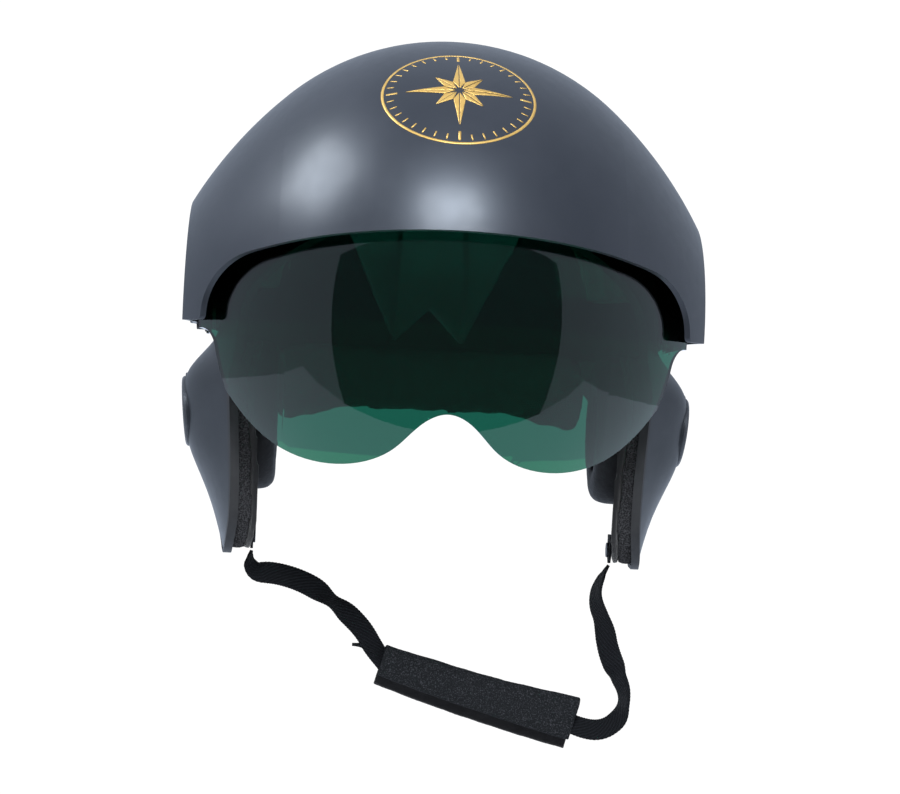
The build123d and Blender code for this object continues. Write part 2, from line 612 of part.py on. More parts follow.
def make_strap():
    """Chin strap: tabs, rivets, webbing, tail and the folded foam sleeve."""
    tab = block(*tab_corners())
    hole_z = STRAP_AXIS_Z + TAB_LENGTH / 2
    rivet_far = STRAP_X + RIVET_LENGTH
    rivet = rod(RIVET_R, STRAP_X - WEBBING_THICKNESS, rivet_far, STRAP_AXIS_Y, hole_z)
    rivet += rod(RIVET_HEAD_R, STRAP_X - WEBBING_THICKNESS - RIVET_HEAD, STRAP_X - WEBBING_THICKNESS,
                 STRAP_AXIS_Y, hole_z)
    hole = rod(RIVET_R + SEAT_CLEARANCE, 0, rivet_far + RIVET_HEAD, STRAP_AXIS_Y, hole_z)
    tunnel = rod(RIVET_R + LINING_CLEARANCE, STRAP_X - OVERRUN, rivet_far, STRAP_AXIS_Y, hole_z)
    well = rod(RIVET_HEAD_R + LINING_CLEARANCE, STRAP_X - OVERRUN, STRAP_X, STRAP_AXIS_Y, hole_z)
    for side, mirrored in SIDES:
        for name in ("flap_foam", "flap_liner"):
            cut = tunnel + well
            NODES[f"{name}_{side}"] -= mirror(cut, about=Plane.YZ) if mirrored else cut
    add_pair("strap_tab", tab - hole)
    add_pair("strap_rivet", (rivet & shell_body(SHELL_WALL)))
    sleeve = sleeve_body(SLEEVE_HEIGHTS, SLEEVE_THICKNESS, 0, 0)
    under = sleeve_body(SLEEVE_HEIGHTS, UNDERFLAP_THICKNESS, UNDERFLAP_DROP,
                        (SLEEVE_THICKNESS + UNDERFLAP_THICKNESS) / 2 + LINING_CLEARANCE)
    add("chin_sleeve", sleeve)
    add("chin_sleeve_flap", under)
    add("webbing_right", webbing(WEBBING_RIGHT_ROUTE, "webbing_right") - sleeve - under)
    add("webbing_left", webbing(WEBBING_LEFT_ROUTE, "webbing_left") - sleeve - under)


make_hood()
make_shell()
make_edging()
make_ear_parts()
make_pads()
make_visor()
make_fasteners()
make_side_covers()
make_strap()

os.makedirs("parts", exist_ok=True)
for node, solid in NODES.items():
    export_step(solid, f"parts/{node}.step")
print(len(NODES), "nodes")
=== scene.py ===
import json
import math

import bmesh
import bpy
import numpy as np
from mathutils import Matrix, Vector, noise
from mathutils.bvhtree import BVHTree


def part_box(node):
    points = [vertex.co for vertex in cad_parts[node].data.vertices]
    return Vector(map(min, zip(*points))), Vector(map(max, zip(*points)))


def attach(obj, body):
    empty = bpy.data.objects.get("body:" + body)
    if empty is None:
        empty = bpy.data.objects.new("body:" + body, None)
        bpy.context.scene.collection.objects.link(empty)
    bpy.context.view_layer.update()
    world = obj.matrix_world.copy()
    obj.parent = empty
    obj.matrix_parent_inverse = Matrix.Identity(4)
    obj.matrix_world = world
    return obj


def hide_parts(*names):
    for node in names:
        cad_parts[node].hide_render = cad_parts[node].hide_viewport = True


MM = 0.001
SIDES = ("left", "right")

# Camera at the photograph's viewing angle
CAMERA_PLACE = Vector((-56.0, -1198.7, -37.0)) * MM
CAMERA_YAW = math.radians(3.0)
CAMERA_ROLL = math.radians(2.6)
CAMERA_LENS = 96.0
CAMERA_SENSOR = 36.0
CAMERA_CLIP = (0.05, 50)

# Hood section about the visor's pivot axis, as the frame has it
HOOD_CROWN_R = 139.0 * MM
HOOD_ARC_R = 122.0 * MM

# Round gold design on the hood
BADGE_ELEVATION = math.radians(48.9)
BADGE_R = 36.7 * MM
BADGE_LINE = 1.3 * MM
BADGE_TICKS = 36
# Length and half width of a small tick, and of the main one in every nine
BADGE_SMALL_TICK = (3.4 * MM, 0.35 * MM)
BADGE_MAIN_TICK = (3.4 * MM * 1.6, 0.6 * MM)
BADGE_MAIN_EVERY = 9
BADGE_RING_STEPS = 144
BADGE_TICK_GAP = 1.1 * MM
BADGE_STAR_GAP = 0.32 * MM
# One half of each long blade is this much slimmer, so that its corner stays apart from its neighbour's
BADGE_SLIM_SHARE = 0.999
BADGE_LONGEST_EDGE = 2.2 * MM
BADGE_CUTS = 4
BADGE_RAY_START = 8 * MM
BADGE_STAR_R = 25.0 * MM
BADGE_STAR_INNER_SHARE = 0.30
BADGE_STAR_SHORT_SHARE = 0.62
BADGE_LIFT = 0.06 * MM
BADGE_THICKNESS = 0.12 * MM

# Chin strap
WEBBING_WIDTH = 11.0 * MM
WEBBING_THICKNESS = 1.3 * MM
WEBBING_ROW = 0.42 * MM
WEBBING_LEAST_ROWS = 24
SELVEDGE_DEPTH = 0.18 * MM
SELVEDGE_PITCH = 1.5 * MM
WEBBING_RIGHT_ROUTE = (
    (-0.0881, -0.0180, -0.1165), (-0.0894, -0.0180, -0.1217), (-0.0858, -0.0179, -0.1272),
    (-0.0770, -0.0176, -0.1270), (-0.0665, -0.0184, -0.1292), (-0.0565, -0.0178, -0.1334),
    (-0.0472, -0.0186, -0.1398), (-0.0390, -0.0180, -0.1460), (-0.0312, -0.0188, -0.1536),
    (-0.0260, -0.0182, -0.1624), (-0.0196, -0.0185, -0.1700),
)
WEBBING_LEFT_ROUTE = (
    (0.0881, -0.0180, -0.1165), (0.0832, -0.0180, -0.1246), (0.0820, -0.0176, -0.1346),
    (0.0872, -0.0184, -0.1460), (0.0895, -0.0180, -0.1580), (0.0945, -0.0188, -0.1695),
    (0.0995, -0.0180, -0.1805), (0.0975, -0.0175, -0.1920), (0.0885, -0.0182, -0.1985),
    (0.0775, -0.0185, -0.1975), (0.0700, -0.0183, -0.1942),
)
# Twist along each webbing: share of the length, then turn of its width out of the picture plane
WEBBING_RIGHT_TWIST = ((0.0, 70), (0.10, 35), (0.2, 12), (0.42, 8), (0.56, 58), (0.68, 20),
                       (0.85, 25), (1.0, 40))
WEBBING_LEFT_TWIST = ((0.0, 84), (0.10, 72), (0.24, 50), (0.36, 20), (0.46, 6), (0.54, 50), (0.66, 68),
                      (0.76, 40), (0.86, 28), (1.0, 35))
# Width shares along each webbing: gathered where it hangs from its tab
WEBBING_GATHER = ((0.0, 0.14), (0.03, 0.45), (0.07, 0.78), (0.13, 1.0), (1.0, 1.0))
TAB_FOOT_GAP = 1.1 * MM
TAB_TWIST = ((0.0, 90), (1.0, 90))
TAB_TAPER = ((0.0, 0.3), (0.25, 0.8), (0.5, 1.0), (1.0, 1.0))
TAB_POINTS = 8
TAIL_ROUTE = (
    (-0.0215, -0.0180, -0.1690), (-0.0240, -0.0186, -0.1650), (-0.0285, -0.0190, -0.1615),
    (-0.0330, -0.0190, -0.1606), (-0.0368, -0.0188, -0.1606),
)
TAIL_TWIST = ((0.0, 40), (0.5, 55), (1.0, 66))
TAIL_TAPER = ((0.0, 1.0), (0.5, 0.8), (1.0, 0.22))
TAIL_WIDTH = 6.0 * MM
SLEEVE_START = Vector((-22.0, -18.4, -167.5)) * MM
SLEEVE_END = Vector((74.5, -18.4, -193.0)) * MM
SLEEVE_HEIGHTS = (15.5 * MM, 21.5 * MM)
SLEEVE_THICKNESS = 8.0 * MM
SLEEVE_SHEET = 2.5 * MM
SLEEVE_BOW = 1.4 * MM
SLEEVE_ROWS = 90
SLEEVE_SIDE_POINTS = 16
SLEEVE_TOP_POINTS = 12
SLEEVE_WAVE = 0.5 * MM
SLEEVE_WAVE_RATE = 9.0
SLEEVE_PINCH = 0.5 * MM
SLEEVE_LIP = 0.7 * MM
SLEEVE_BACK_RISE = 1.5 * MM
FLAP_SHEET = 2.6 * MM
FLAP_WAVE = 0.35 * MM
FLAP_WAVE_RATE = 14.0
FLAP_DROP = 5.8 * MM

# Nape pad: a soft roll inside the shell's rear edge
NAPE_ROLL_CENTRE_Y = 12.0 * MM
NAPE_ROLL_HIT_Z = -24.0 * MM
NAPE_ROLL_TOP_Z = -11.0 * MM
NAPE_ROLL_FOOT_Z = -45.0 * MM
NAPE_ROLL_THICKNESS = 11.0 * MM
NAPE_ROLL_ANGLE = math.radians(50)
NAPE_ROLL_GAP = 0.8 * MM
NAPE_ROLL_INSET = 4.0 * MM
NAPE_ROLL_ROWS = 72
NAPE_ROLL_POINTS = 28
# How much lower its foot hangs, in millimetres, from the middle to its ends
NAPE_ROLL_DROPS = ((0.0, 0.0), (0.45, 0.0), (0.75, 6.0), (0.95, 11.0), (1.0, 11.0))

# Cloth that puffs the cushions and pads
CLOTH_FRAMES = 20
CLOTH_STIFFNESS = 12
CLOTH_BENDING = 0.6

# Light
FLOOR_Z = -0.245
FLOOR_HALF = 6.0
FLOOR_COLOUR = (0.9, 0.9, 0.9, 1)
# Each soft lamp: direction it stands in, distance and size in metres, power in watts
KEY_LAMP = ((0.0, -0.76, 0.65), 1.3, (0.52, 0.40), 22.5)
SIDE_LAMP = ((-0.72, -0.12, 0.69), 1.3, (0.6, 0.5), 16.0)
FILL_LAMP = ((0.85, -0.35, 0.40), 1.6, (0.8, 0.8), 2.0)
WORLD_LEVEL = 0.40
BACKDROP_LEVEL = 1.06
LAMP_COLOUR = (0.90, 0.95, 1.0)
PLASTIC_SHEEN = (0.80, 0.88, 1.0, 1.0)
ROOM_LEVEL = 0.60
ROOM_COLOUR = (0.95, 1.09, 1.32, 1.0)
# What the visor mirrors: a white table top, and past its front edge a dark space with grey walls beside it
TABLE_HALF = 0.75
TABLE_FRONT_Y = -0.29
TABLE_LIFT = 2 * MM
CARD_CORNERS = ((0.30, -0.285, -0.242), (1.10, -0.80, -0.242), (1.10, -0.80, 0.54))
CARD_LEVEL = 0.11


def srgb(red, green, blue):
    """Linear colour of an 8-bit display colour."""
    shares = (red / 255, green / 255, blue / 255)
    return tuple(c / 12.92 if c <= 0.04045 else ((c + 0.055) / 1.055) ** 2.4 for c in shares) + (1.0,)


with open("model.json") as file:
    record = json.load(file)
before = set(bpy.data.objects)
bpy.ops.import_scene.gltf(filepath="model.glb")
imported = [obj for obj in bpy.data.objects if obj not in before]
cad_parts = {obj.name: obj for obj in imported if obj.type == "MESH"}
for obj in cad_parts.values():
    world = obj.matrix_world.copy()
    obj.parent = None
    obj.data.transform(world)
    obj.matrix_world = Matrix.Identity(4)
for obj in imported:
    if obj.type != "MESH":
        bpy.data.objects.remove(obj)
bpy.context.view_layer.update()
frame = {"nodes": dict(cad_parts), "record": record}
nodes = frame["nodes"]


class Finish:
    """A material built from texture nodes around one Principled shader."""

    def __init__(self, name, colour, roughness, **values):
        self.material = bpy.data.materials.new(name)
        self.material.use_nodes = True
        self.tree = self.material.node_tree
        self.shader = self.tree.nodes["Principled BSDF"]
        self.shader.inputs["Base Color"].default_value = colour
        self.shader.inputs["Roughness"].default_value = roughness
        for socket, value in values.items():
            self.shader.inputs[socket.replace("_", " ")].default_value = value
        self.coordinates = self.node("ShaderNodeTexCoord")
        self.normal = None

    def node(self, kind, **settings):
        made = self.tree.nodes.new(kind)
        for name, value in settings.items():
            setattr(made, name, value)
        return made

    def link(self, source, target):
        self.tree.links.new(source, target)

    def noise(self, scale, detail, rough=0.5):
        """Noise with features about 1/scale metres across."""
        made = self.node("ShaderNodeTexNoise")
        made.inputs["Scale"].default_value = scale
        made.inputs["Detail"].default_value = detail
        made.inputs["Roughness"].default_value = rough
        self.link(self.coordinates.outputs["Object"], made.inputs["Vector"])
        return made.outputs["Fac"]

    def cells(self, scale):
        """Distance from the middles of cells about 1/scale metres across."""
        made = self.node("ShaderNodeTexVoronoi", feature="F1")
        made.inputs["Scale"].default_value = scale
        self.link(self.coordinates.outputs["Object"], made.inputs["Vector"])
        return made.outputs["Distance"]

    def wave(self, scale, stretch=None, distortion=0.0, space="UV", direction="X"):
        made = self.node("ShaderNodeTexWave", bands_direction=direction)
        made.inputs["Scale"].default_value = scale
        made.inputs["Distortion"].default_value = distortion
        self.link(self.stretched(stretch, space), made.inputs["Vector"])
        return made.outputs["Fac"]

    def stretched(self, stretch, space):
        if stretch is None:
            return self.coordinates.outputs[space]
        mapping = self.node("ShaderNodeMapping")
        mapping.inputs["Scale"].default_value = stretch
        self.link(self.coordinates.outputs[space], mapping.inputs["Vector"])
        return mapping.outputs["Vector"]

    def ramp(self, source, low, high):
        """Number from 0 to 1 as the source goes from low to high."""
        made = self.node("ShaderNodeMapRange")
        made.inputs["From Min"].default_value = low
        made.inputs["From Max"].default_value = high
        self.link(source, made.inputs["Value"])
        return made.outputs["Result"]

    def multiply(self, first, second):
        made = self.node("ShaderNodeMath", operation="MULTIPLY")
        self.link(first, made.inputs[0])
        self.link(second, made.inputs[1])
        return made.outputs["Value"]

    def tint(self, factor, low, high):
        """Base colour that goes from low to high with the factor."""
        made = self.node("ShaderNodeMix", data_type="RGBA")
        made.inputs[6].default_value = low
        made.inputs[7].default_value = high
        self.link(factor, made.inputs[0])
        self.link(made.outputs[2], self.shader.inputs["Base Color"])

    def rough(self, factor, low, high):
        made = self.node("ShaderNodeMapRange")
        made.inputs["To Min"].default_value = low
        made.inputs["To Max"].default_value = high
        self.link(factor, made.inputs["Value"])
        self.link(made.outputs["Result"], self.shader.inputs["Roughness"])

    def bump(self, height, depth, strength):
        made = self.node("ShaderNodeBump")
        made.inputs["Strength"].default_value = strength
        made.inputs["Distance"].default_value = depth
        self.link(height, made.inputs["Height"])
        if self.normal is not None:
            self.link(self.normal, made.inputs["Normal"])
        self.normal = made.outputs["Normal"]
        self.link(self.normal, self.shader.inputs["Normal"])


def moulded(name, colour, deep, roughness, coat):
    """Satin moulded plastic with a fine orange peel and faint cloudiness."""
    finish = Finish(name, colour, roughness, Specular_IOR_Level=0.36, Specular_Tint=PLASTIC_SHEEN,
                    Coat_Weight=coat, Coat_Roughness=0.22)
    cloud = finish.noise(28, 4)
    finish.tint(finish.ramp(cloud, 0.35, 0.65), deep, colour)
    finish.rough(finish.noise(160, 3), roughness - 0.04, roughness + 0.05)
    finish.bump(finish.noise(900, 3), 0.03 * MM, 0.35)
    finish.bump(finish.noise(45, 2), 0.12 * MM, 0.25)
    return finish.material


def make_visor_material():
    finish = Finish("visor_green", (0.011, 0.150, 0.084, 1.0), 0.008, Transmission_Weight=1.0, IOR=1.47)
    finish.bump(finish.noise(14, 1), 0.10 * MM, 0.12)
    return finish.material


def make_foam(name, dark, light, cell):
    finish = Finish(name, dark, 0.95, Specular_IOR_Level=0.1)
    pores = finish.cells(1 / cell)
    grain = finish.noise(1.6 / cell, 5, 0.7)
    finish.tint(finish.ramp(finish.multiply(pores, grain), 0.12, 0.42), dark, light)
    finish.bump(pores, cell * 0.6, 0.8)
    finish.bump(grain, cell * 0.8, 0.7)
    return finish.material


def make_speckled_foam(name):
    finish = Finish(name, (0.009, 0.010, 0.012, 1), 0.85, Specular_IOR_Level=0.12)
    grain = finish.noise(1500, 4, 0.75)
    finish.tint(finish.ramp(grain, 0.52, 0.74), (0.006, 0.007, 0.008, 1), (0.066, 0.066, 0.076, 1))
    finish.bump(finish.cells(1100), 0.30 * MM, 0.6)
    finish.bump(finish.noise(380, 4), 0.25 * MM, 0.5)
    return finish.material


def make_cloth(name, dark, light, pitch, sheen=0.3):
    finish = Finish(name, dark, 0.9, Specular_IOR_Level=0.15, Sheen_Weight=sheen, Sheen_Roughness=0.5)
    across = finish.wave(0.5 / pitch, space="Object", direction="X")
    along = finish.wave(0.5 / pitch, space="Object", direction="Z")
    weave = finish.multiply(across, along)
    finish.tint(finish.noise(240, 4), dark, light)
    finish.bump(weave, pitch * 0.35, 0.5)
    finish.bump(finish.noise(700, 3), 0.15 * MM, 0.4)
    return finish.material


def make_leather(name):
    finish = Finish(name, (0.008, 0.008, 0.009, 1), 0.6, Specular_IOR_Level=0.16)
    finish.tint(finish.noise(300, 4), (0.005, 0.005, 0.006, 1), (0.012, 0.012, 0.014, 1))
    finish.rough(finish.noise(500, 3), 0.50, 0.70)
    finish.bump(finish.cells(750), 0.18 * MM, 0.55)
    finish.bump(finish.noise(160, 3), 0.35 * MM, 0.4)
    return finish.material


def make_vinyl(name):
    finish = Finish(name, (0.11, 0.12, 0.13, 1), 0.34, Specular_IOR_Level=0.8)
    finish.tint(finish.noise(60, 4), (0.09, 0.10, 0.11, 1), (0.17, 0.18, 0.20, 1))
    finish.bump(finish.noise(110, 4), 0.5 * MM, 0.5)
    finish.bump(finish.cells(900), 0.10 * MM, 0.4)
    return finish.material


def make_webbing(name):
    """Twill-woven nylon: ribs slant across the width in the webbing's own coordinates, in millimetres."""
    finish = Finish(name, (0.006, 0.007, 0.009, 1), 0.8, Specular_IOR_Level=0.12, Sheen_Weight=0.04)
    ribs = finish.wave(0.22, stretch=(1.0, 1.7, 1.0), distortion=0.6, direction="DIAGONAL")
    threads = finish.wave(0.55, stretch=(1.7, -1.0, 1.0), distortion=0.4, direction="DIAGONAL")
    finish.tint(finish.ramp(finish.multiply(ribs, threads), 0.1, 0.8), (0.002, 0.0024, 0.0034, 1),
                (0.009, 0.010, 0.013, 1))
    finish.bump(ribs, 0.22 * MM, 0.8)
    finish.bump(threads, 0.12 * MM, 0.6)
    return finish.material


def make_metal(name, colour, roughness):
    finish = Finish(name, colour, roughness, Metallic=1.0)
    finish.rough(finish.noise(1200, 3), roughness * 0.7, roughness * 1.4)
    finish.bump(finish.noise(900, 2), 0.02 * MM, 0.3)
    return finish.material


def make_plain(name, dark, light, roughness):
    finish = Finish(name, dark, roughness, Specular_IOR_Level=0.4)
    finish.tint(finish.noise(220, 3), dark, light)
    finish.bump(finish.noise(1100, 3), 0.04 * MM, 0.5)
    return finish.material


def make_gold(name):
    finish = Finish(name, srgb(196, 158, 84), 0.42, Metallic=0.55, Specular_IOR_Level=0.6)
    finish.tint(finish.noise(130, 4), srgb(172, 134, 62), srgb(212, 176, 102))
    finish.bump(finish.noise(1400, 3), 0.02 * MM, 0.5)
    return finish.material


LOOKS = {
    "hood_plastic": moulded("hood_plastic", (0.018, 0.020, 0.026, 1), (0.014, 0.016, 0.021, 1), 0.37, 0.12),
    "shell_plastic": moulded("shell_plastic", (0.017, 0.019, 0.023, 1), (0.013, 0.015, 0.018, 1), 0.42, 0.06),
    # Side cover: its pale bluish base colour is a painted reflection of the white surroundings, seen at a
    # grazing angle
    "cover_plastic": moulded("cover_plastic", (0.33, 0.34, 0.39, 1), (0.29, 0.30, 0.35, 1), 0.34, 0.1),
    "disc_plastic": moulded("disc_plastic", (0.046, 0.049, 0.058, 1), (0.040, 0.043, 0.050, 1), 0.38, 0.1),
    "visor_green": make_visor_material(),
    "trim_rubber": make_plain("trim_rubber", (0.010, 0.010, 0.011, 1), (0.020, 0.020, 0.022, 1), 0.55),
    "grey_foam": make_foam("grey_foam", (0.008, 0.008, 0.009, 1), (0.046, 0.046, 0.050, 1), 0.75 * MM),
    "liner_fabric": make_cloth("liner_fabric", (0.007, 0.007, 0.008, 1), (0.016, 0.016, 0.018, 1), 0.7 * MM),
    "liner_vinyl": make_vinyl("liner_vinyl"),
    "ear_leather": make_leather("ear_leather"),
    "pad_foam": make_cloth("pad_foam", (0.046, 0.048, 0.050, 1), (0.092, 0.096, 0.100, 1), 1.1 * MM, 0.4),
    "nape_foam": make_cloth("nape_foam", (0.045, 0.047, 0.050, 1), (0.085, 0.088, 0.092, 1), 1.1 * MM, 0.2),
    "bright_steel": make_metal("bright_steel", (0.80, 0.81, 0.83, 1), 0.16),
    "washer_steel": make_metal("washer_steel", (0.55, 0.56, 0.57, 1), 0.34),
    "blackened_steel": make_metal("blackened_steel", (0.030, 0.030, 0.033, 1), 0.45),
    "black_nylon": make_plain("black_nylon", (0.012, 0.012, 0.013, 1), (0.020, 0.020, 0.022, 1), 0.45),
    "sleeve_foam": make_speckled_foam("sleeve_foam"),
    "sleeve_backing": make_cloth("sleeve_backing", (0.004, 0.004, 0.005, 1), (0.011, 0.011, 0.013, 1),
                                 0.5 * MM, 0.22),
    "strap_webbing": make_webbing("strap_webbing"),
    "gold_print": make_gold("gold_print"),
}


def dress_frame():
    """Give every rigid node of the frame its finish."""
    for part in frame["record"]["subparts"]:
        piece = nodes[part["node"]]
        look = "blackened_steel" if part["node"].startswith("strap_rivet") else part["material_slot"]
        piece.data.materials.clear()
        piece.data.materials.append(LOOKS[look])


def finished(piece, look, body, replaces=()):
    """Material, body, slot and replaced nodes of a new piece."""
    piece.data.materials.clear()
    piece.data.materials.append(LOOKS[look])
    for polygon in piece.data.polygons:
        polygon.use_smooth = True
    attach(piece, body)
    if replaces:
        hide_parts(*replaces)
    return piece


def placed(name, data):
    """A new object in the scene."""
    made = bpy.data.objects.new(name, data)
    bpy.context.scene.collection.objects.link(made)
    return made


def new_piece(name, vertices, faces):
    mesh = bpy.data.meshes.new(name)
    mesh.from_pydata([tuple(v) for v in vertices], [], faces)
    mesh.validate()
    return placed(name, mesh)


def surface_of(node):
    """Search tree of a node's surface."""
    mesh = nodes[node].data
    return BVHTree.FromPolygons([v.co for v in mesh.vertices], [tuple(p.vertices) for p in mesh.polygons])


def baked(piece):
    """The piece with its modifiers applied."""
    bpy.context.view_layer.update()
    shown = piece.evaluated_get(bpy.context.evaluated_depsgraph_get())
    mesh = bpy.data.meshes.new_from_object(shown)
    piece.modifiers.clear()
    piece.data = mesh
    return piece


def points_of(piece):
    flat = np.zeros(len(piece.data.vertices) * 3)
    piece.data.vertices.foreach_get("co", flat)
    return flat.reshape(-1, 3)


def set_points(piece, points):
    piece.data.vertices.foreach_set("co", points.ravel())
    piece.data.update()


def normals_of(piece):
    flat = np.zeros(len(piece.data.vertices) * 3)
    piece.data.vertex_normals.foreach_get("vector", flat)
    return flat.reshape(-1, 3)


def remeshed(name, node, voxel):
    """A new piece of even quads with a node's shape."""
    mesh = nodes[node].data.copy()
    mesh.name = name
    piece = placed(name, mesh)
    remesh = piece.modifiers.new("remesh", "REMESH")
    remesh.mode = "VOXEL"
    remesh.voxel_size = voxel
    return baked(piece)


def smoothed(piece, steps):
    smooth = piece.modifiers.new("smooth", "SMOOTH")
    smooth.iterations = steps
    smooth.factor = 0.5
    return baked(piece)


def subdivided(piece):
    subdivision = piece.modifiers.new("subdivision", "SUBSURF")
    subdivision.levels = 1
    subdivision.render_levels = 1
    return baked(piece)


def roughened(piece, size, depth, seed):
    """Move the surface in and out by noise, for a soft hand-cut look."""
    points, normals = points_of(piece), normals_of(piece)
    offset = Vector((seed, seed * 2.3, -seed))
    shift = np.array([noise.noise(Vector(p) / size + offset) for p in points])
    set_points(piece, points + normals * shift[:, None] * depth)


def puffed(piece, pressure, cap, shrink):
    """Swell a padded piece with cloth under pressure, with the way each point moves limited."""
    start = points_of(piece) - normals_of(piece) * shrink
    set_points(piece, start)
    cloth = piece.modifiers.new("cloth", "CLOTH")
    settings = cloth.settings
    settings.quality = 4
    settings.use_pressure = True
    settings.uniform_pressure_force = pressure
    settings.effector_weights.gravity = 0
    settings.tension_stiffness = CLOTH_STIFFNESS
    settings.compression_stiffness = CLOTH_STIFFNESS
    settings.bending_stiffness = CLOTH_BENDING
    cloth.point_cache.frame_start = 1
    cloth.point_cache.frame_end = CLOTH_FRAMES
    for step in range(1, CLOTH_FRAMES + 1):
        bpy.context.scene.frame_set(step)
    baked(piece)
    bpy.context.scene.frame_set(1)
    move = points_of(piece) - start
    far = np.linalg.norm(move, axis=1, keepdims=True)
    set_points(piece, start + move * np.minimum(1.0, cap / np.maximum(far, 1e-9)))
    return piece


def smooth_line(name, route):
    """Points of the smooth spline whose control points are the route."""
    curve = bpy.data.curves.new(name, "CURVE")
    curve.dimensions = "3D"
    curve.resolution_u = 24
    spline = curve.splines.new("NURBS")
    spline.points.add(len(route) - 1)
    for point, place in zip(spline.points, route):
        point.co = (*place, 1.0)
    spline.order_u = 3
    spline.use_endpoint_u = True
    holder = bpy.data.objects.new(name, curve)
    mesh = bpy.data.meshes.new_from_object(holder)
    line = np.array([v.co for v in mesh.vertices])
    bpy.data.meshes.remove(mesh)
    bpy.data.objects.remove(holder)
    bpy.data.curves.remove(curve)
    return line


def evenly(line, count):
    """The line again as evenly spaced points."""
    along = np.concatenate([[0], np.cumsum(np.linalg.norm(np.diff(line, axis=0), axis=1))])
    at = np.linspace(0, along[-1], count)
    return np.stack([np.interp(at, along, line[:, k]) for k in range(3)], axis=1), along[-1]


def length_of(line):
    return float(np.linalg.norm(np.diff(line, axis=0), axis=1).sum())


def eased(stops, share):
    """Value at a share between stops, with no corners."""
    places = [s for s, _ in stops]
    values = [v for _, v in stops]
    i = max(0, min(len(places) - 2, int(np.searchsorted(places, share, side="right")) - 1))
    t = (share - places[i]) / (places[i + 1] - places[i])
    t = max(0.0, min(1.0, t))
    t = t * t * (3 - 2 * t)
    return values[i] + (values[i + 1] - values[i]) * t


def ribbon(name, line, twist, taper, width=WEBBING_WIDTH):
    """Flat webbing along a line, with rounded looped edges, turned by the twist in degrees."""
    rows = max(WEBBING_LEAST_ROWS, int(length_of(line) / WEBBING_ROW))
    line, total = evenly(line, rows)
    tangents = np.gradient(line, axis=0)
    tangents /= np.linalg.norm(tangents, axis=1, keepdims=True)
    away = np.array([0.0, 1.0, 0.0])
    profile = ((-1.0, 0.0), (-0.97, 0.72), (-0.78, 1.0), (-0.4, 0.92), (0.0, 1.0), (0.4, 0.92), (0.78, 1.0),
               (0.97, 0.72), (1.0, 0.0), (0.97, -0.72), (0.78, -1.0), (0.4, -0.92), (0.0, -1.0),
               (-0.4, -0.92), (-0.78, -1.0), (-0.97, -0.72))
    vertices, uvs = [], []
    for i, (place, tangent) in enumerate(zip(line, tangents)):
        share = i / (rows - 1)
        flat = np.cross(away, tangent)
        flat /= np.linalg.norm(flat)
        turn = math.radians(eased(twist, share))
        across = flat * math.cos(turn) + np.cross(tangent, flat) * math.sin(turn)
        normal = np.cross(tangent, across)
        loops = 0.5 + 0.5 * math.cos(share * total / SELVEDGE_PITCH * 2 * math.pi)
        half = (width / 2 - SELVEDGE_DEPTH * loops) * eased(taper, share)
        for u, v in profile:
            vertices.append(place + across * u * half + normal * v * WEBBING_THICKNESS / 2)
            uvs.append((share * total / MM, u * width / 2 / MM))
    count = len(profile)
    faces = []
    for i in range(rows - 1):
        for j in range(count):
            k = (j + 1) % count
            faces.append((i * count + j, i * count + k, (i + 1) * count + k, (i + 1) * count + j))
    faces.append(tuple(range(count)))
    faces.append(tuple((rows - 1) * count + j for j in reversed(range(count))))
    piece = new_piece(name, vertices, faces)
    layer = piece.data.uv_layers.new(name="weave")
    for loop in piece.data.loops:
        layer.data[loop.index].uv = uvs[loop.vertex_index]
    return piece


def make_strap():
    """Webbing, anchor tabs and the loose tail sewn back at the sleeve."""
    routes = (("right", WEBBING_RIGHT_ROUTE, WEBBING_RIGHT_TWIST, -1),
              ("left", WEBBING_LEFT_ROUTE, WEBBING_LEFT_TWIST, 1))
    tail = make_tail()
    for side, route, twist, sign in routes:
        line = smooth_line("route_" + side, route)
        turns = [(share, turn * sign) for share, turn in twist]
        piece = ribbon("webbing_ribbon_" + side, line, turns, WEBBING_GATHER)
        finished(piece, "strap_webbing", "chin_strap", replaces=("webbing_" + side,))
        low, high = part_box("strap_tab_" + side)
        middle = (low + high) / 2
        foot = route[0][2] + TAB_FOOT_GAP
        tab_line = np.array([(middle.x, middle.y, z) for z in np.linspace(foot, high.z, TAB_POINTS)])
        tab = ribbon("strap_anchor_" + side, tab_line, TAB_TWIST, TAB_TAPER, width=high.y - low.y)
        finished(tab, "strap_webbing", "root", replaces=("strap_tab_" + side,))


def make_tail():
    """Loose end of the webbing where it is sewn back at the sleeve."""
    line = smooth_line("route_tail", TAIL_ROUTE)
    tail = ribbon("webbing_tail", line, TAIL_TWIST, TAIL_TAPER, width=TAIL_WIDTH)
    return finished(tail, "strap_webbing", "chin_strap")


def sleeve_frame(share):
    """Centre, length direction and up direction of the sleeve at a share of its length."""
    along = (SLEEVE_END - SLEEVE_START).normalized()
    sag = SLEEVE_BOW * 4 * share * (1 - share)
    centre = SLEEVE_START.lerp(SLEEVE_END, share) - Vector((0, 0, sag))
    rise = along.cross(Vector((0, 1, 0)))
    if rise.z < 0:
        rise = -rise
    return centre, along, rise


